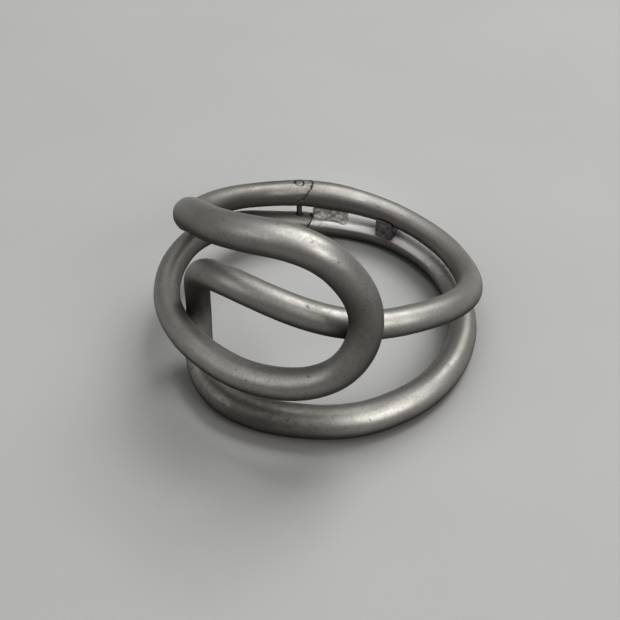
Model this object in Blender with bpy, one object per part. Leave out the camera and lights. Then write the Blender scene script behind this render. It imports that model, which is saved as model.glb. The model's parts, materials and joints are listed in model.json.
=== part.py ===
"""Ring puzzle of two bent wire hairpins that overlap at the front and hinge on a pin at the back.

Frame: metres, +Z up along the axis of the finger hole, origin on the resting plane below its centre.
The front of the ring faces -Y. Azimuth 0 is the front and grows towards +X.
"""
from math import cos, pi, radians, sin

import bmesh
import bpy
from mathutils import Matrix, Vector

MM = 0.001
WIRE_SIDES = 16
STATION_STEP = 0.95 * MM

# The finger hole's axis, placed so that the origin lies below the middle of the bounding box.
HOLE_AXIS_X = 0.296 * MM
HOLE_AXIS_Y = 0.6 * MM

HINGE_AZIMUTH = -170.0
HINGE_RADIUS = 10.0 * MM
UPPER_RAIL_Z = 4.3
LOWER_RAIL_Z = 1.3
UPPER_RAIL_THICKNESS = 2.0
LOWER_RAIL_THICKNESS = 1.85
FULL_TURN = 360.0
TONGUE_TURN = 7.0

# Each wire runs through stations of azimuth in degrees, then height, radius and thickness in mm.
OUTER_STATIONS = [
    (HINGE_AZIMUTH - TONGUE_TURN, 4.1, 10.0, UPPER_RAIL_THICKNESS),
    (HINGE_AZIMUTH, UPPER_RAIL_Z, 10.0, UPPER_RAIL_THICKNESS),
    (-157, 4.7, 10.0, 1.9),
    (-142, 5.45, 10.0, 1.8),
    (-128, 6.2, 9.95, 1.85),
    (-115, 7.0, 9.75, 1.9),
    (-103, 8.2, 9.25, 1.9),
    (-90, 9.9, 8.75, 1.95),
    (-72, 12.3, 8.65, 2.0),
    (-54, 14.3, 9.2, 2.0),
    (-38, 15.7, 10.0, 2.0),
    (-24, 16.6, 10.6, 2.0),
    (-11, 16.9, 10.9, 2.0),
    (-1, 16.2, 11.1, 2.0),
    (6, 14.6, 11.2, 2.0),
    (10, 12.8, 11.2, 2.0),
    (11.2, 11.0, 11.2, 2.0),
    (9.5, 9.1, 11.2, 2.0),
    (4.5, 7.4, 11.15, 2.0),
    (-4, 6.3, 11.1, 2.0),
    (-16, 5.7, 11.0, 2.0),
    (-30, 5.4, 10.9, 2.0),
    (-45, 5.3, 10.8, 1.95),
    (-60, 5.1, 10.8, 1.85),
    (-76, 4.9, 10.8, 1.8),
    (-92, 4.8, 10.6, 1.8),
    (-108, 4.6, 10.3, 1.8),
    (-124, 4.0, 10.1, 1.85),
    (-140, 3.1, 10.0, 1.85),
    (-155, 2.0, 10.0, 1.85),
    (HINGE_AZIMUTH, LOWER_RAIL_Z, 10.0, LOWER_RAIL_THICKNESS),
    (HINGE_AZIMUTH - TONGUE_TURN, 1.05, 10.0, LOWER_RAIL_THICKNESS),
]
INNER_STATIONS = [
    (HINGE_AZIMUTH + FULL_TURN + TONGUE_TURN, 4.5, 10.0, UPPER_RAIL_THICKNESS),
    (HINGE_AZIMUTH + FULL_TURN, UPPER_RAIL_Z, 10.0, UPPER_RAIL_THICKNESS),
    (176, 3.95, 9.9, 2.1),
    (162, 3.57, 9.95, 1.95),
    (147, 3.35, 10.0, 1.8),
    (132, 3.3, 10.0, 1.75),
    (116, 3.5, 10.0, 1.75),
    (100, 3.95, 10.0, 1.75),
    (84, 4.9, 10.0, 1.75),
    (68, 6.2, 9.9, 1.8),
    (52, 7.4, 9.7, 1.8),
    (36, 8.2, 9.4, 1.8),
    (20, 8.7, 9.2, 1.8),
    (5, 9.3, 9.1, 1.85),
    (-10, 10.1, 9.1, 1.85),
    (-24, 10.7, 9.1, 1.85),
    (-38, 10.8, 9.1, 1.85),
    (-52, 10.0, 9.0, 1.85),
    (-63, 8.3, 8.95, 1.75),
    (-68, 6.2, 8.9, 1.65),
    (-69, 4.1, 8.95, 1.7),
    (-64, 2.3, 9.4, 1.9),
    (-54, 1.38, 9.95, 2.1),
    (-40, 1.15, 10.25, 2.24),
    (-25, 1.12, 10.2, 2.24),
    (-10, 1.12, 10.0, 2.24),
    (5, 1.12, 10.0, 2.24),
    (20, 1.12, 10.0, 2.24),
    (40, 1.1, 10.0, 2.2),
    (60, 1.05, 10.0, 2.1),
    (80, 1.0, 10.0, 2.0),
    (100, 0.95, 10.0, 1.9),
    (120, 0.95, 10.0, 1.9),
    (140, 0.93, 10.0, 1.85),
    (155, 0.9, 10.0, 1.78),
    (170, 0.88, 10.0, 1.7),
    (180, 1.0, 10.0, 1.74),
    (HINGE_AZIMUTH + FULL_TURN, LOWER_RAIL_Z, 10.0, LOWER_RAIL_THICKNESS),
    (HINGE_AZIMUTH + FULL_TURN + TONGUE_TURN, 1.55, 10.0, LOWER_RAIL_THICKNESS),
]

LAP_RADIUS = 1.06 * MM
LAP_GAP = 0.06 * MM
EYE_RADIUS = 1.0 * MM
TRIM_LENGTH = 1.6 * MM
TRIM_TOP = 7.0 * MM
CUT_REACH = 3.0 * MM
PIN_RADIUS = 0.2 * MM
PIN_CLEARANCE = 0.06 * MM
PIN_HEAD_RADIUS = 0.34 * MM
PIN_HEAD_SEAT = 0.36 * MM
PIN_HEAD_CONE = 0.24 * MM
PIN_HEAD_EDGE = 0.88 * MM
PIN_HEAD_TOP = 0.95 * MM
PIN_HEAD_CROWN = 0.62
CROSS_BAR_AZIMUTH = 148.0
CROSS_BAR_WIDTH = 1.3 * MM
CROSS_BAR_RADII = (8.95 * MM, 10.2 * MM)
CROSS_BAR_HEIGHTS = (1.6 * MM, 3.2 * MM)
SEAM_AZIMUTH = 176.0
SEAM_WIDTH = 2.4 * MM
SEAM_RADII = (9.55 * MM, 10.2 * MM)
SEAM_HEIGHTS = (1.5 * MM, 3.3 * MM)
BRIDGE_GAP_MM = 0.1
BRIDGE_ROUNDING = 0.15 * MM
BRIDGE_ROUNDING_STEPS = 2
ROUND_SIDES = 24
SHARP_ANGLE = 35.0


def clear_scene():
    for obj in list(bpy.data.objects):
        bpy.data.objects.remove(obj, do_unlink=True)


def metal(name, colour, roughness):
    material = bpy.data.materials.new(name)
    material.use_nodes = True
    shader = material.node_tree.nodes["Principled BSDF"]
    shader.inputs["Base Color"].default_value = (*colour, 1.0)
    shader.inputs["Metallic"].default_value = 1.0
    shader.inputs["Roughness"].default_value = roughness
    return material


def link(name, mesh, material):
    obj = bpy.data.objects.new(name, mesh)
    bpy.context.scene.collection.objects.link(obj)
    mesh.materials.append(material)
    mesh.shade_smooth()
    mesh.set_sharp_from_angle(angle=radians(SHARP_ANGLE))
    return obj


def around(azimuth, radius, height):
    angle = radians(azimuth)
    return Vector((HOLE_AXIS_X + radius * sin(angle), HOLE_AXIS_Y - radius * cos(angle), height))


def cardinal(a, b, c, d, t):
    """Point between b and c on the cubic through a, b, c and d."""
    near = 2 * b + (c - a) * t
    curve = (2 * a - 5 * b + 4 * c - d) * t * t + (3 * b - a - 3 * c + d) * t ** 3
    return 0.5 * (near + curve)


def wire_route(stations):
    """Centre points and half thicknesses along a wire, evenly spaced within each span."""
    spots = [around(s[0], s[2] * MM, s[1] * MM) for s in stations]
    halves = [s[3] * MM / 2 for s in stations]
    spots = [2 * spots[0] - spots[1]] + spots + [2 * spots[-1] - spots[-2]]
    halves = [halves[0]] + halves + [halves[-1]]
    route = []
    for i in range(1, len(spots) - 2):
        steps = max(1, round((spots[i + 1] - spots[i]).length / STATION_STEP))
        for k in range(steps):
            point = cardinal(*spots[i - 1:i + 3], k / steps)
            half = cardinal(*halves[i - 1:i + 3], k / steps)
            route.append((point, half))
    route.append((spots[-2], halves[-2]))
    return route


def skin(name, bm, rings):
    """Closed tube over rings of corners, capped at both ends."""
    sides = len(rings[0])
    for first, second in zip(rings, rings[1:]):
        for k in range(sides):
            n = (k + 1) % sides
            bm.faces.new((first[k], first[n], second[n], second[k]))
    bm.faces.new(rings[0][::-1])
    bm.faces.new(rings[-1])
    bmesh.ops.recalc_face_normals(bm, faces=bm.faces)
    mesh = bpy.data.meshes.new(name)
    bm.to_mesh(mesh)
    bm.free()
    return mesh


def wire_mesh(name, stations):
    """Round wire swept along its route, with flats that face up, down, in and out."""
    route = wire_route(stations)
    bm = bmesh.new()
    rings = []
    for i, (point, half) in enumerate(route):
        ahead = route[min(i + 1, len(route) - 1)][0]
        behind = route[max(i - 1, 0)][0]
        along = (ahead - behind).normalized()
        outward = Vector((point.x - HOLE_AXIS_X, point.y - HOLE_AXIS_Y, 0.0))
        outward = (outward - along * outward.dot(along)).normalized()
        across = along.cross(outward)
        corner = half / cos(pi / WIRE_SIDES)
        ring = []
        for k in range(WIRE_SIDES):
            angle = 2 * pi * (k + 0.5) / WIRE_SIDES
            offset = outward * cos(angle) + across * sin(angle)
            ring.append(bm.verts.new(point + offset * corner))
        rings.append(ring)
    return skin(name, bm, rings)


def turned_mesh(name, profile, centre):
    """Solid of revolution about an upright axis, from (radius, height) pairs that rise."""
    bm = bmesh.new()
    rings = []
    for radius, height in profile:
        ring = []
        for k in range(ROUND_SIDES):
            angle = 2 * pi * k / ROUND_SIDES
            spot = Vector((radius * cos(angle), radius * sin(angle), height))
            ring.append(bm.verts.new(centre + spot))
        rings.append(ring)
    return skin(name, bm, rings)


def cylinder(name, radius, low, high, centre):
    return turned_mesh(name, [(radius, low), (radius, high)], centre)


def tool_object(name, mesh):
    obj = bpy.data.objects.new(name, mesh)
    bpy.context.scene.collection.objects.link(obj)
    obj.hide_render = True
    obj.display_type = "WIRE"
    return obj


def combine(obj, tool, operation):
    modifier = obj.modifiers.new(tool.name, "BOOLEAN")
    modifier.operation = operation
    modifier.solver = "EXACT"
    modifier.object = tool


def trim_end(obj, heading, hinge):
    """Round off the tongues beyond the hinge to half circles about its axis."""
    bm = bmesh.new()
    bmesh.ops.create_cube(bm, size=1.0)
    bmesh.ops.scale(bm, vec=Vector((TRIM_LENGTH, CUT_REACH, 2 * TRIM_TOP)), verts=bm.verts)
    turn = Matrix.Rotation(radians(HINGE_AZIMUTH), 4, "Z")
    middle = turn @ Vector((heading * TRIM_LENGTH / 2, 0.0, 0.0))
    bm.transform(Matrix.Translation(hinge + middle) @ turn)
    mesh = bpy.data.meshes.new(f"{obj.name}_trim")
    bm.to_mesh(mesh)
    bm.free()
    trim = tool_object(mesh.name, mesh)
    tip = cylinder(f"{obj.name}_tip", EYE_RADIUS, -2 * TRIM_TOP, 2 * TRIM_TOP, hinge)
    combine(trim, tool_object(tip.name, tip), "DIFFERENCE")
    combine(obj, trim, "DIFFERENCE")


def cut_lap(obj, rail, keep_upper, hinge):
    """Leave one half of a rail's height around the hinge axis."""
    name, height = rail
    middle = height * MM
    if keep_upper:
        low, high = middle - CUT_REACH / 2, middle + LAP_GAP / 2
    else:
        low, high = middle - LAP_GAP / 2, middle + CUT_REACH / 2
    relief = cylinder(f"{obj.name}_{name}_relief", LAP_RADIUS, low, high, hinge)
    combine(obj, tool_object(relief.name, relief), "DIFFERENCE")


def bore_mesh(name, hinge):
    """Pin bore with a conical seat for a head at each end."""
    lower = LOWER_RAIL_Z * MM
    upper = UPPER_RAIL_Z * MM
    narrow = PIN_RADIUS + PIN_CLEARANCE
    wide = PIN_HEAD_RADIUS + PIN_CLEARANCE
    deep = PIN_HEAD_SEAT + PIN_HEAD_CONE
    profile = [
        (wide, lower - CUT_REACH),
        (wide, lower - deep),
        (narrow, lower - PIN_HEAD_SEAT),
        (narrow, upper + PIN_HEAD_SEAT),
        (wide, upper + deep),
        (wide, upper + CUT_REACH),
    ]
    return turned_mesh(name, profile, hinge)


def make_wires(hinge, pivot):
    steel = metal("satin_steel", (0.33, 0.32, 0.29), 0.38)
    dark_steel = metal("satin_steel_worn", (0.3, 0.29, 0.265), 0.4)
    outer = link("outer_loop_wire", wire_mesh("outer_loop_wire", OUTER_STATIONS), steel)
    inner = link("inner_loop_wire", wire_mesh("inner_loop_wire", INNER_STATIONS), dark_steel)
    trim_end(outer, -1, hinge)
    trim_end(inner, 1, hinge)
    for rail in (("upper", UPPER_RAIL_Z), ("lower", LOWER_RAIL_Z)):
        cut_lap(outer, rail, True, hinge)
        cut_lap(inner, rail, False, hinge)
    for obj in (outer, inner):
        bore = bore_mesh(f"{obj.name}_bore", hinge)
        combine(obj, tool_object(bore.name, bore), "DIFFERENCE")
    outer.parent = pivot
    outer.matrix_parent_inverse = pivot.matrix_world.inverted()


def make_pin(hinge):
    """Riveted pin whose low domed heads sit in the conical seats, nearly flush with the rails."""
    lower = LOWER_RAIL_Z * MM
    upper = UPPER_RAIL_Z * MM
    seat = PIN_HEAD_SEAT + PIN_CLEARANCE
    crown = PIN_HEAD_RADIUS * PIN_HEAD_CROWN
    profile = [
        (crown, lower - PIN_HEAD_TOP),
        (PIN_HEAD_RADIUS, lower - PIN_HEAD_EDGE),
        (PIN_HEAD_RADIUS, lower - seat - PIN_HEAD_CONE),
        (PIN_RADIUS, lower - seat),
        (PIN_RADIUS, upper + seat),
        (PIN_HEAD_RADIUS, upper + seat + PIN_HEAD_CONE),
        (PIN_HEAD_RADIUS, upper + PIN_HEAD_EDGE),
        (crown, upper + PIN_HEAD_TOP),
    ]
    pin_steel = metal("pin_steel", (0.2, 0.19, 0.18), 0.4)
    return link("hinge_pin", turned_mesh("hinge_pin", profile, hinge), pin_steel)


def make_bridge(name, azimuth, width, radii, heights, material):
    """Rounded block between the inner loop's two rails, cut back to hug them."""
    bm = bmesh.new()
    bmesh.ops.create_cube(bm, size=1.0)
    size = Vector((width, radii[1] - radii[0], heights[1] - heights[0]))
    bmesh.ops.scale(bm, vec=size, verts=bm.verts)
    bmesh.ops.bevel(
        bm,
        geom=bm.edges,
        offset=BRIDGE_ROUNDING,
        segments=BRIDGE_ROUNDING_STEPS,
        affect="EDGES",
        profile=0.5,
    )
    spot = around(azimuth, sum(radii) / 2, sum(heights) / 2)
    bm.transform(Matrix.Translation(spot) @ Matrix.Rotation(radians(azimuth), 4, "Z"))
    mesh = bpy.data.meshes.new(name)
    bm.to_mesh(mesh)
    bm.free()
    bridge = link(name, mesh, material)
    swollen = [(*station[:3], station[3] + 2 * BRIDGE_GAP_MM) for station in INNER_STATIONS]
    clearance = wire_mesh(f"{name}_clearance", swollen)
    combine(bridge, tool_object(clearance.name, clearance), "DIFFERENCE")


def make_bridges():
    bar = metal("bar_solder", (0.24, 0.22, 0.22), 0.55)
    seam = metal("seam_solder", (0.27, 0.26, 0.245), 0.6)
    make_bridge("back_cross_bar", CROSS_BAR_AZIMUTH, CROSS_BAR_WIDTH, CROSS_BAR_RADII, CROSS_BAR_HEIGHTS, bar)
    make_bridge("rail_seam_solder", SEAM_AZIMUTH, SEAM_WIDTH, SEAM_RADII, SEAM_HEIGHTS, seam)


def main():
    clear_scene()
    hinge = around(HINGE_AZIMUTH, HINGE_RADIUS, 0.0)
    pivot = bpy.data.objects.new("outer_loop_pivot", None)
    pivot.location = hinge
    bpy.context.scene.collection.objects.link(pivot)
    bpy.context.view_layer.update()
    make_wires(hinge, pivot)
    make_pin(hinge)
    make_bridges()


main()
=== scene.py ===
import json
from math import radians

import bmesh
import bpy
from mathutils import Matrix, Vector, noise


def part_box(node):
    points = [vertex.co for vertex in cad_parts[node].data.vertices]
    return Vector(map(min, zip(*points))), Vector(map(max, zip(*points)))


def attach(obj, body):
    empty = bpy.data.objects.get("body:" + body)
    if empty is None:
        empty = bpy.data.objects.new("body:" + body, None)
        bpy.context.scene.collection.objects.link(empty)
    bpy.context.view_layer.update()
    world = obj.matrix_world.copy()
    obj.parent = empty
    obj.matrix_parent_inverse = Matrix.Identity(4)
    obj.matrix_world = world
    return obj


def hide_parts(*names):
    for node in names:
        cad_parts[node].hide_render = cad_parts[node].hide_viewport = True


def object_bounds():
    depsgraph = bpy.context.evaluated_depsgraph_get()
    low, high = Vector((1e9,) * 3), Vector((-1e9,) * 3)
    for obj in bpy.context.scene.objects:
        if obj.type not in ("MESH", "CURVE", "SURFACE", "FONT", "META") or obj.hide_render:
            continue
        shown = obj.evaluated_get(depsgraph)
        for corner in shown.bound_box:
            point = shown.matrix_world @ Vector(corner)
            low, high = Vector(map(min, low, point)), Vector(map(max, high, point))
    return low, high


# A finger-ring-sized wire puzzle: two hairpins of satin steel wire, hinged on a pin at the back.
# It stands on z = 0 with its front towards -Y. Lengths are in metres.
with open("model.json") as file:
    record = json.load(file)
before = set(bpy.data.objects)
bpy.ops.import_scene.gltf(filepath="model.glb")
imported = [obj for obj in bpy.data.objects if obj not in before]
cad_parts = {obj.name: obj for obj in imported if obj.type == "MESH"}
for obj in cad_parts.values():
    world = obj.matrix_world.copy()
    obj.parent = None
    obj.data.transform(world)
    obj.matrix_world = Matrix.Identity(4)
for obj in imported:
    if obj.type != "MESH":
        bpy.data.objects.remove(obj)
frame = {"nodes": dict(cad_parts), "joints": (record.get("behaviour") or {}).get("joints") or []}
CAD_BOX = [list(corner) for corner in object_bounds()]


def node_middle(node):
    """The middle of a CAD node's box."""
    low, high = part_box(node)
    return (low + high) / 2


MM = 0.001
LOW = Vector(CAD_BOX[0])
HINGE = Vector(frame["joints"][0]["pos_m"])
CROSS_BAR = node_middle("back_cross_bar")
SEAM = node_middle("rail_seam_solder")

# ---------------------------------------------------------------- shape settings
# Corners closer than this are joined, triangles flatter and squarer than this make quads, and edges
# sharper than this keep a crease.
JOINED_CORNERS = 0.0005 * MM
FLAT_ANGLE = radians(25)
QUAD_ANGLE = radians(50)
SHARP_ANGLE = radians(40)
DENT_LENGTH = 3.2 * MM
RIPPLE_LENGTH = 0.9 * MM
# The surface sinks by this share of the dents' depth, which makes room for their high spots.
DENT_SINK = 0.4

# Depth of the dents and ripples, swell of the whole surface, subdivisions and edge crease.
WIRE_SHAPE = {"dent": 0.022 * MM, "ripple": 0.008 * MM, "swell": 0.012 * MM, "levels": 2, "crease": 0.75}
PIN_SHAPE = {"dent": 0.01 * MM, "ripple": 0.008 * MM, "swell": 0.012 * MM, "levels": 2, "crease": 0.75}
BAR_SHAPE = {"dent": 0.08 * MM, "ripple": 0.07 * MM, "swell": 0.14 * MM, "levels": 3, "crease": 0.45}
SEAM_SHAPE = {"dent": 0.2 * MM, "ripple": 0.2 * MM, "swell": 0.22 * MM, "levels": 4, "crease": 0.15}

# ---------------------------------------------------------------- colours
CLEAN_STEEL = (0.465, 0.455, 0.43)
DULL_STEEL = (0.385, 0.375, 0.353)
SPECKLED_STEEL = (0.25, 0.235, 0.21)
# Dark of the pits, and painted shade in crevices and between parts.
PIT_DARK_AND_CREVICE_SHADE = (0.04, 0.034, 0.03)
# Painted shade on sides that face down and on the back rails' inner side.
SHADED_SIDE_DARK = (0.09, 0.082, 0.076)
# Painted shade round two spots: the back rails by the hinge and the bottom wire's front left.
SPOT_SHADE = (0.08, 0.07, 0.062)
HEAT_BROWN = (0.17, 0.13, 0.14)
# Painted highlight on the low back rail by the cross bar.
PALE_PAINTED_HIGHLIGHT = (0.86, 0.84, 0.82)
# Edge tints of the reflection: pale on lit upper sides, dark on undersides as painted shade.
LIT_SIDE_EDGE_TINT = (0.9, 0.9, 0.88)
SHADED_SIDE_EDGE_TINT = (0.25, 0.24, 0.23)
BAR_DARK = (0.07, 0.06, 0.064)
BAR_LIGHT = (0.17, 0.15, 0.155)
SEAM_DARK = (0.2, 0.19, 0.18)
SEAM_LIGHT = (0.84, 0.82, 0.8)
FLOOR_DARK = (0.255, 0.255, 0.2525)
FLOOR_LIGHT = (0.283, 0.283, 0.2805)
FLOOR_SHADE = (0.13, 0.127, 0.125)

# ---------------------------------------------------------------- steel surface
# Noises: scale per millimetre, detail and roughness.
CLOUDS = (0.55, 3.0, 0.55)
GRAIN = (16.0, 5.0, 0.65)
SPECKLE = (5.5, 3.0, 0.7)
PITS = (3.1, 2.0, 0.4)
SPOT_EDGE = (2.4, 3.0, 0.55)
SCRATCH_DETAIL = (1.0, 0.55)
SCRATCH_STRETCH = (1.0, 0.08, 0.08)
# Scratches: turn of the stretched noise, scale per millimetre, and half width of the noise band.
SCRATCHES = (((0.4, 0.2, 0.7), 7.0, 0.012), ((1.3, 0.9, -0.5), 6.0, 0.01))

# Ranges read as: from this value to that one, giving this result to that one.
PIT_RANGE = (0.24, 0.31, 1.0, 0.0)
CLOUD_RANGE = (0.35, 0.68, 0.0, 1.0)
MOTTLE_RANGE = (0.42, 0.7, 0.0, 0.35)
CREVICE_RANGE = (0.25, 0.9, 0.85, 0.0)
UNDERSIDE_RANGE = (-0.15, 0.7, 1.0, 0.0)
INWARD_RANGE = (-0.2, -0.6, 0.0, 1.0)
BACK_RANGE = (2.0 * MM, 5.0 * MM, 0.0, 1.0)
LOW_RAIL_RANGE = (2.3 * MM, 2.7 * MM, 1.0, 0.0)
UPPER_SIDE_RANGE = (0.4, 0.2, 0.0, 1.0)
# The painted highlight strip is less metallic.
HIGHLIGHT_METALLIC_RANGE = (0.0, 1.0, 1.0, 0.45)
CLOUD_ROUGHNESS_RANGE = (0.3, 0.7, 0.52, 0.42)
SPECKLE_ROUGHNESS_RANGE = (0.3, 0.75, -0.05, 0.12)

# Reach of the painted crevice shade.
CREVICE_REACH = 1.2 * MM
OCCLUSION_SAMPLES = 8
PIT_DARKNESS = 0.55
# Strength of the painted shade on the back rails' inner side.
INSIDE_SHADE = 0.55
# Strength of the painted shade on sides that face down.
UNDERSIDE_SHADE = 0.9
CREVICE_ROUGHNESS = 0.25
GRAIN_HEIGHT = 0.35
SPECKLE_HEIGHT = 0.5
SCRATCH_HEIGHT = 0.16
PIT_HEIGHT = 0.7
STEEL_BUMP = {"Strength": 0.35, "Distance": 0.02 * MM}

# The foot's painted shade lies low on the bottom wire, at the front left of the CAD box.
FOOT = Vector((0.4 * LOW.x, 0.8 * LOW.y, 1.0 * MM))

# Marks round a spot: its place, the radius of the full mark, the radius where it ends, its strength.
# Painted shade that dims the back rails by the hinge, and shade low on the bottom wire's front left.
RAIL_SHADE_SPOT = (HINGE + Vector((-1.5, 0.0, 1.8)) * MM, 2.5 * MM, 7.5 * MM, 0.45)
FOOT_SHADE_SPOT = (FOOT, 3.0 * MM, 8.5 * MM, 0.85)
BAR_HEAT = (CROSS_BAR, 1.0 * MM, 2.4 * MM, 0.8)
# Painted highlight on the low rail beside the cross bar.
BAR_HIGHLIGHT_SPOT = (CROSS_BAR, 5.5 * MM, 8.5 * MM, 0.9)
SPOT_RAGGEDNESS = 0.4

# ---------------------------------------------------------------- solder and floor surface
BLOTCH_DETAIL = (3.0, 0.55)
SOLDER_GRAIN = (14.0, 4.0, 0.7)
SOLDER_GRAIN_HEIGHT = 0.5
BLOTCH_RANGE = (0.35, 0.65, 0.0, 1.0)
BLOTCH_ROUGHNESS_RANGE = (0.3, 0.7, 0.62, 0.42)
SOLDER_BUMP = {"Strength": 0.6, "Distance": 0.03 * MM}
FLOOR_SIZE = 1.2
FLOOR_ROUGHNESS = 0.85
FLOOR_NOISE = (0.05, 2.0, 0.55)
CONTACT_REACH = 4.5 * MM
CONTACT_RANGE = (0.35, 0.95, 0.6, 0.0)

# ---------------------------------------------------------------- lamps and camera
# Square lamps: direction from the ring, distance, side, power and colour.
AREA_LAMPS = {
    "overhead": ((0.13, 0.06, 1.0), 0.45, 0.46, 1.3, (1.0, 1.0, 0.99)),
    "window_back_right": ((0.5, 0.42, 0.76), 0.4, 0.12, 0.36, (1.0, 0.99, 0.97)),
    "soft_front_right": ((0.6, -0.56, 0.58), 0.4, 0.16, 0.5, (1.0, 0.98, 0.95)),
    "soft_front_left": ((-0.75, -0.36, 0.6), 0.4, 0.22, 0.2, (1.0, 1.0, 1.0)),
}
# It falls on the floor alone, so it deepens the ring's shadow and leaves the metal's highlights.
SHADOW_KEY = ((0.28, 0.3, 1.0), 0.4, 0.15, 1.1, (1.0, 1.0, 1.0))

# Spot lamps: the point they aim at, direction from it, power and cone angle in degrees.
BACK_RAIL_SPOT = (SEAM + Vector((1.3, 0.0, -0.8)) * MM, (0.08, -0.36, 0.93), 0.11, 9.0)
BOTTOM_WIRE_SPOT = (Vector((4.6, -8.3, 1.0)) * MM, (0.48, -0.4, 0.745), 0.08, 9.0)
SPOT_DISTANCE = 70 * MM
SPOT_RADIUS = 6 * MM

# The room's brightness by height, from the horizon to overhead.
WORLD_STOPS = (
    (0.0, (0.06, 0.056, 0.052)),
    (0.2, (0.1, 0.1, 0.0985)),
    (0.45, (0.21, 0.21, 0.20685)),
    (0.75, (0.24, 0.24, 0.237)),
)

# The camera stands close above the ring's front, looking down at 45 degrees.
CAMERA_PLACE = Vector((-0.63, -43.63, 45.52)) * MM
CAMERA_FALL = 45.0
CAMERA_ROLL = -0.26
CAMERA_LENS = 50.5
CAMERA_SENSOR = 36.0
CAMERA_CLIP = (1 * MM, 5.0)


# ---------------------------------------------------------------- node helpers
class NodeTree:
    """Short calls that build the nodes of one material or world."""

    # The numbers of a Mix node's sockets when it blends colours.
    MIX_FACTOR, MIX_FIRST, MIX_SECOND, MIX_RESULT = 0, 6, 7, 2

    def __init__(self, owner):
        owner.use_nodes = True
        self.nodes = owner.node_tree.nodes
        self.links = owner.node_tree.links
        self.nodes.clear()

    def add(self, kind, **values):
        """A new node, with each value put on its input or its setting of that name."""
        node = self.nodes.new(kind)
        for key, value in values.items():
            if key in node.inputs:
                node.inputs[key].default_value = value
            else:
                setattr(node, key, value)
        return node

    def link(self, output, node, name):
        """Links an output to a node's input of that name."""
        self.links.new(output, node.inputs[name])

    def feed(self, socket, value):
        """Gives an input a number, a colour, or another node's output."""
        if isinstance(value, bpy.types.NodeSocket):
            self.links.new(value, socket)
        elif isinstance(value, tuple):
            socket.default_value = (*value, 1.0)
        else:
            socket.default_value = value

    def place(self):
        """Object coordinates in metres."""
        return self.add("ShaderNodeTexCoord").outputs["Object"]

    def place_in_mm(self, stretch=(1.0, 1.0, 1.0), turn=(0.0, 0.0, 0.0)):
        """Object coordinates in millimetres, stretched and turned."""
        mapping = self.add("ShaderNodeMapping", Scale=[size / MM for size in stretch], Rotation=turn)
        self.link(self.place(), mapping, "Vector")
        return mapping.outputs["Vector"]

    def part(self, vector, letter):
        """The X, Y or Z part of a vector."""
        split = self.add("ShaderNodeSeparateXYZ")
        self.link(vector, split, "Vector")
        return split.outputs[letter]

    def noise(self, place, scale, detail, roughness):
        """Noise from 0 to 1."""
        node = self.add("ShaderNodeTexNoise", Scale=scale, Detail=detail, Roughness=roughness)
        self.link(place, node, "Vector")
        return node.outputs["Fac"]

    def remap(self, value, low, high, to_low, to_high):
        """Takes low to to_low and high to to_high, and stays level beyond them."""
        node = self.add("ShaderNodeMapRange")
        numbers = {"From Min": low, "From Max": high, "To Min": to_low, "To Max": to_high}
        for name, number in numbers.items():
            node.inputs[name].default_value = number
        self.link(value, node, "Value")
        return node.outputs["Result"]

    def blend(self, factor, first, second):
        """The first colour at 0, the second at 1."""
        node = self.add("ShaderNodeMix", data_type="RGBA")
        self.feed(node.inputs[self.MIX_FIRST], first)
        self.feed(node.inputs[self.MIX_SECOND], second)
        self.feed(node.inputs[self.MIX_FACTOR], factor)
        return node.outputs[self.MIX_RESULT]

    def math(self, operation, first, second=0.0):
        """The result of a Math node."""
        node = self.add("ShaderNodeMath", operation=operation)
        self.feed(node.inputs[0], first)
        self.feed(node.inputs[1], second)
        return node.outputs[0]

    def openness(self, distance):
        """One in the open, less where other surfaces are near."""
        node = self.add("ShaderNodeAmbientOcclusion", samples=OCCLUSION_SAMPLES, Distance=distance)
        return node.outputs["AO"]

    def bump(self, height, shader, **values):
        """Raises the shader's surface by a height."""
        node = self.add("ShaderNodeBump", **values)
        self.link(height, node, "Height")
        self.link(node.outputs["Normal"], shader, "Normal")


def new_material(name, **values):
    """A new material, its node tree and its one shader."""
    material = bpy.data.materials.new(name)
    tree = NodeTree(material)
    shader = tree.add("ShaderNodeBsdfPrincipled", **values)
    output = tree.add("ShaderNodeOutputMaterial")
    tree.link(shader.outputs["BSDF"], output, "Surface")
    return material, tree, shader


# ---------------------------------------------------------------- materials
def scratches(tree, turn, scale, width):
    """Sparse fine lines: the thin middle band of a stretched noise."""
    place = tree.place_in_mm(SCRATCH_STRETCH, turn)
    value = tree.noise(place, scale, *SCRATCH_DETAIL)
    away = tree.math("ABSOLUTE", tree.math("SUBTRACT", value, 0.5))
    return tree.remap(away, 0.0, width, 1.0, 0.0)


def underside(tree):
    """One on sides that look down, fading to zero on sides that look up."""
    normal = tree.add("ShaderNodeNewGeometry").outputs["Normal"]
    return tree.remap(tree.part(normal, "Z"), *UNDERSIDE_RANGE)


def back_inside(tree):
    """One on the inward side of the back rails, where the steel gets painted shade."""
    normal = tree.add("ShaderNodeTexCoord").outputs["Normal"]
    inward = tree.remap(tree.part(normal, "Y"), *INWARD_RANGE)
    back = tree.remap(tree.part(tree.place(), "Y"), *BACK_RANGE)
    return tree.math("MULTIPLY", inward, back)


def near_spot(tree, spot, inner, outer, most):
    """Most near a spot in the ring's frame, fading unevenly to zero at the outer distance."""
    ripple = tree.noise(tree.place_in_mm(), *SPOT_EDGE)
    distance = tree.add("ShaderNodeVectorMath", operation="DISTANCE")
    tree.links.new(tree.place(), distance.inputs[0])
    distance.inputs[1].default_value = spot
    uneven = tree.math("MULTIPLY", ripple, SPOT_RAGGEDNESS * outer)
    reach = tree.math("ADD", distance.outputs["Value"], uneven)
    return tree.remap(reach, inner, outer, most, 0.0)


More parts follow.
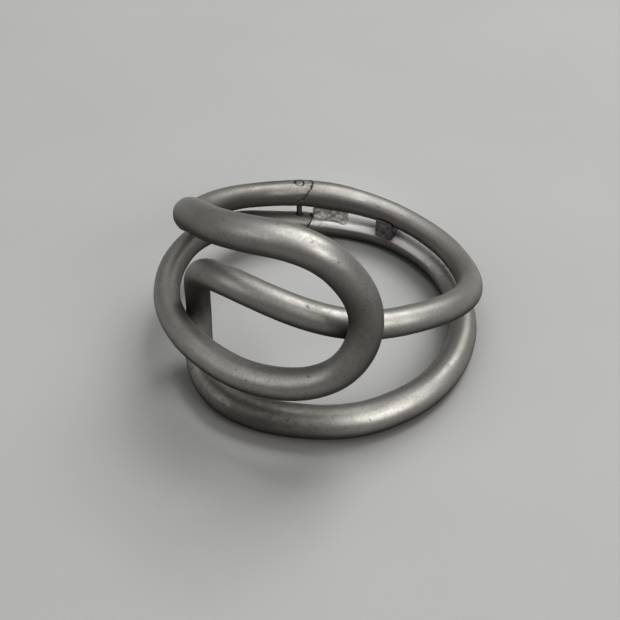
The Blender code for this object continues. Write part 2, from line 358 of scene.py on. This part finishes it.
def highlight_strip(tree, down):
    """One on the upper side of the low back rail by the cross bar, where a pale highlight is painted."""
    low_rail = tree.remap(tree.part(tree.place(), "Z"), *LOW_RAIL_RANGE)
    upper_side = tree.remap(down, *UPPER_SIDE_RANGE)
    strip = tree.math("MULTIPLY", low_rail, upper_side)
    return tree.math("MULTIPLY", near_spot(tree, *BAR_HIGHLIGHT_SPOT), strip)


def satin_steel(name, shade_spots, by_the_bar=False):
    """Tumbled steel: cloudy tone, fine grain, small pits and hairline scratches, with painted shade in
    crevices, on undersides, on the back rails' inner side and round the given spots, and by the cross
    bar a painted highlight and heat tint.
    """
    material, tree, shader = new_material(name, Metallic=1.0)
    place = tree.place_in_mm()
    clouds = tree.noise(place, *CLOUDS)
    speckle = tree.noise(place, *SPECKLE)
    pits = tree.remap(tree.noise(place, *PITS), *PIT_RANGE)
    # Painted shade: darker where other surfaces are near, in crevices and between parts.
    crevice_shade = tree.remap(tree.openness(CREVICE_REACH), *CREVICE_RANGE)
    down = underside(tree)

    tone = tree.blend(tree.remap(clouds, *CLOUD_RANGE), DULL_STEEL, CLEAN_STEEL)
    tone = tree.blend(tree.remap(speckle, *MOTTLE_RANGE), tone, SPECKLED_STEEL)
    tone = tree.blend(tree.math("MULTIPLY", pits, PIT_DARKNESS), tone, PIT_DARK_AND_CREVICE_SHADE)
    tone = tree.blend(crevice_shade, tone, PIT_DARK_AND_CREVICE_SHADE)
    # Painted shade round each given spot.
    for shade_spot in shade_spots:
        tone = tree.blend(near_spot(tree, *shade_spot), tone, SPOT_SHADE)
    # Painted shade on the inner side of the back rails.
    tone = tree.blend(tree.math("MULTIPLY", back_inside(tree), INSIDE_SHADE), tone, SHADED_SIDE_DARK)
    # Painted shade: sides that face down are darkened, and their reflection's edge tint too.
    tone = tree.blend(tree.math("MULTIPLY", down, UNDERSIDE_SHADE), tone, SHADED_SIDE_DARK)
    tree.link(tree.blend(down, LIT_SIDE_EDGE_TINT, SHADED_SIDE_EDGE_TINT), shader, "Specular Tint")
    if by_the_bar:
        # Painted highlight: a pale, less metallic strip on the low back rail by the cross bar.
        painted_highlight = highlight_strip(tree, down)
        tone = tree.blend(painted_highlight, tone, PALE_PAINTED_HIGHLIGHT)
        tree.link(tree.remap(painted_highlight, *HIGHLIGHT_METALLIC_RANGE), shader, "Metallic")
        tone = tree.blend(near_spot(tree, *BAR_HEAT), tone, HEAT_BROWN)
    tree.link(tone, shader, "Base Color")

    rough = tree.remap(clouds, *CLOUD_ROUGHNESS_RANGE)
    rough = tree.math("ADD", rough, tree.remap(speckle, *SPECKLE_ROUGHNESS_RANGE))
    rough = tree.math("ADD", rough, tree.math("MULTIPLY", crevice_shade, CREVICE_ROUGHNESS))
    tree.link(rough, shader, "Roughness")

    hairlines = tree.math("MAXIMUM", *(scratches(tree, *lines) for lines in SCRATCHES))
    height = tree.math("MULTIPLY", tree.noise(place, *GRAIN), GRAIN_HEIGHT)
    height = tree.math("ADD", height, tree.math("MULTIPLY", speckle, SPECKLE_HEIGHT))
    height = tree.math("SUBTRACT", height, tree.math("MULTIPLY", hairlines, SCRATCH_HEIGHT))
    height = tree.math("SUBTRACT", height, tree.math("MULTIPLY", pits, PIT_HEIGHT))
    tree.bump(height, shader, **STEEL_BUMP)
    return material


def solder_grey(name, dark, light, metallic, scale):
    """Uneven blotched solder, from dark to light."""
    material, tree, shader = new_material(name, Metallic=metallic)
    place = tree.place_in_mm()
    blotch = tree.noise(place, scale, *BLOTCH_DETAIL)
    tree.link(tree.blend(tree.remap(blotch, *BLOTCH_RANGE), dark, light), shader, "Base Color")
    tree.link(tree.remap(blotch, *BLOTCH_ROUGHNESS_RANGE), shader, "Roughness")
    grain = tree.math("MULTIPLY", tree.noise(place, *SOLDER_GRAIN), SOLDER_GRAIN_HEIGHT)
    tree.bump(tree.math("ADD", blotch, grain), shader, **SOLDER_BUMP)
    return material


def floor_paint(name):
    """Plain pale matt paint, a little darker where the ring touches it."""
    material, tree, shader = new_material(name, Roughness=FLOOR_ROUGHNESS)
    tone = tree.noise(tree.place_in_mm(), *FLOOR_NOISE)
    colour = tree.blend(tone, FLOOR_DARK, FLOOR_LIGHT)
    shade = tree.remap(tree.openness(CONTACT_REACH), *CONTACT_RANGE)
    tree.link(tree.blend(shade, colour, FLOOR_SHADE), shader, "Base Color")
    return material


# ---------------------------------------------------------------- pieces
def creased_copy(node, crease):
    """A free copy of a CAD node's mesh in quads, with its sharp edges creased."""
    bm = bmesh.new()
    bm.from_mesh(frame["nodes"][node].data)
    bmesh.ops.remove_doubles(bm, verts=bm.verts, dist=JOINED_CORNERS)
    bmesh.ops.join_triangles(
        bm,
        faces=bm.faces,
        angle_face_threshold=FLAT_ANGLE,
        angle_shape_threshold=QUAD_ANGLE,
        cmp_seam=False,
        cmp_sharp=False,
        cmp_uvs=False,
        cmp_vcols=False,
        cmp_materials=False,
    )
    creases = bm.edges.layers.float.new("crease_edge")
    for edge in bm.edges:
        if len(edge.link_faces) == 2 and edge.calc_face_angle() > SHARP_ANGLE:
            edge[creases] = crease
    return bm


def apply_modifiers(piece):
    """Makes the modified mesh the piece's own."""
    graph = bpy.context.evaluated_depsgraph_get()
    finished = bpy.data.meshes.new_from_object(piece.evaluated_get(graph))
    piece.modifiers.clear()
    piece.data = finished


def smooth_piece(name, node, body, slot, material, dent, ripple, swell, levels, crease):
    """The node's own shape, rounded by subdivision and marked by small hand-worked dents."""
    bm = creased_copy(node, crease)
    mesh = bpy.data.meshes.new(name)
    bm.to_mesh(mesh)
    bm.free()
    piece = bpy.data.objects.new(name, mesh)
    bpy.context.scene.collection.objects.link(piece)
    round_off = piece.modifiers.new("round_off", "SUBSURF")
    round_off.levels = levels
    round_off.render_levels = levels
    apply_modifiers(piece)
    marked = []
    for vertex in piece.data.vertices:
        dented = noise.noise(vertex.co / DENT_LENGTH) * dent
        rippled = noise.noise(vertex.co / RIPPLE_LENGTH) * ripple
        marked.extend(vertex.co + vertex.normal * (dented + rippled - DENT_SINK * dent + swell))
    piece.data.vertices.foreach_set("co", marked)
    piece.data.update()
    piece.data.shade_smooth()
    piece.data.materials.clear()
    piece.data.materials.append(material)
    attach(piece, body)
    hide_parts(node)
    return piece


def make_pieces():
    """All five pieces of the puzzle. Returns the inner loop."""
    outer = satin_steel("outer_wire_steel", [RAIL_SHADE_SPOT])
    inner = satin_steel("inner_wire_steel", [RAIL_SHADE_SPOT, FOOT_SHADE_SPOT], by_the_bar=True)
    bar = solder_grey("bar_solder", BAR_DARK, BAR_LIGHT, metallic=1.0, scale=2.0)
    seam = solder_grey("seam_solder", SEAM_DARK, SEAM_LIGHT, metallic=0.4, scale=3.2)
    pin = satin_steel("pin_steel", [RAIL_SHADE_SPOT])
    smooth_piece("outer_loop", "outer_loop_wire", "outer_loop", "outer_wire_steel", outer, **WIRE_SHAPE)
    inner_loop = smooth_piece(
        "inner_loop", "inner_loop_wire", "inner_loop", "inner_wire_steel", inner, **WIRE_SHAPE
    )
    smooth_piece("cross_bar", "back_cross_bar", "inner_loop", "bar_solder", bar, **BAR_SHAPE)
    smooth_piece("seam", "rail_seam_solder", "inner_loop", "seam_solder", seam, **SEAM_SHAPE)
    smooth_piece("rivet", "hinge_pin", "inner_loop", "pin_steel", pin, **PIN_SHAPE)
    return inner_loop


# ---------------------------------------------------------------- stage
def make_floor():
    """The plain floor that the ring stands on."""
    bpy.ops.mesh.primitive_plane_add(size=FLOOR_SIZE)
    floor = bpy.context.active_object
    floor.name = "floor"
    floor.data.materials.append(floor_paint("pale_floor"))
    return floor


def place_lamp(data, target, towards, distance):
    """Stands a lamp at a distance from its target, in a direction, facing it."""
    lamp = bpy.data.objects.new(data.name, data)
    bpy.context.scene.collection.objects.link(lamp)
    direction = Vector(towards).normalized()
    lamp.location = target + direction * distance
    lamp.rotation_mode = "QUATERNION"
    lamp.rotation_quaternion = direction.to_track_quat("Z", "Y")
    return lamp


def area_lamp(name, towards, distance, size, power, colour):
    """A soft square lamp that faces the ring."""
    data = bpy.data.lights.new(name, "AREA")
    data.shape = "SQUARE"
    data.size = size
    data.energy = power
    data.color = colour
    return place_lamp(data, Vector((0.0, 0.0, 0.0)), towards, distance)


def narrow_spot(name, target, towards, power, angle):
    """A narrow soft spot lamp that picks out one stretch of wire."""
    data = bpy.data.lights.new(name, "SPOT")
    data.energy = power
    data.spot_size = radians(angle)
    data.spot_blend = 1.0
    data.shadow_soft_size = SPOT_RADIUS
    return place_lamp(data, target, towards, SPOT_DISTANCE)


def light_only(lamp, thing):
    """Lets a lamp fall on one object and nothing else."""
    receivers = bpy.data.collections.new(lamp.name + "_receivers")
    receivers.objects.link(thing)
    lamp.light_linking.receiver_collection = receivers


def make_lights(floor, inner_loop):
    """Four soft lamps, one for the floor's shadow, and two narrow spots for highlights."""
    for name, settings in AREA_LAMPS.items():
        area_lamp(name, *settings)
    light_only(area_lamp("shadow_key", *SHADOW_KEY), floor)
    narrow_spot("back_rail_spot", *BACK_RAIL_SPOT)
    light_only(narrow_spot("bottom_wire_spot", *BOTTOM_WIRE_SPOT), inner_loop)


def make_world():
    """A room that is dim near the floor and brighter above."""
    world = bpy.data.worlds.new("studio")
    bpy.context.scene.world = world
    tree = NodeTree(world)
    direction = tree.add("ShaderNodeTexCoord").outputs["Generated"]
    ramp = tree.add("ShaderNodeValToRGB")
    stops = ramp.color_ramp.elements
    stops.remove(stops[1])
    lowest, *others = WORLD_STOPS
    stops[0].position, stops[0].color = lowest[0], (*lowest[1], 1.0)
    for height, colour in others:
        stops.new(height).color = (*colour, 1.0)
    tree.link(tree.part(direction, "Z"), ramp, "Fac")
    background = tree.add("ShaderNodeBackground", Strength=1.0)
    tree.link(ramp.outputs["Color"], background, "Color")
    output = tree.add("ShaderNodeOutputWorld")
    tree.link(background.outputs["Background"], output, "Surface")


def make_camera():
    """The photo's point of view."""
    data = bpy.data.cameras.new("camera")
    data.lens = CAMERA_LENS
    data.sensor_width = CAMERA_SENSOR
    data.clip_start, data.clip_end = CAMERA_CLIP
    camera = bpy.data.objects.new("camera", data)
    bpy.context.scene.collection.objects.link(camera)
    camera.location = CAMERA_PLACE
    tilt = Matrix.Rotation(radians(90 - CAMERA_FALL), 3, "X")
    roll = Matrix.Rotation(radians(CAMERA_ROLL), 3, "Z")
    camera.rotation_mode = "QUATERNION"
    camera.rotation_quaternion = (tilt @ roll).to_quaternion()
    bpy.context.scene.camera = camera


def main():
    """Builds the whole scene round the CAD frame."""
    make_camera()
    inner_loop = make_pieces()
    make_lights(make_floor(), inner_loop)
    make_world()
    bpy.context.scene.view_settings.view_transform = "Standard"


main()
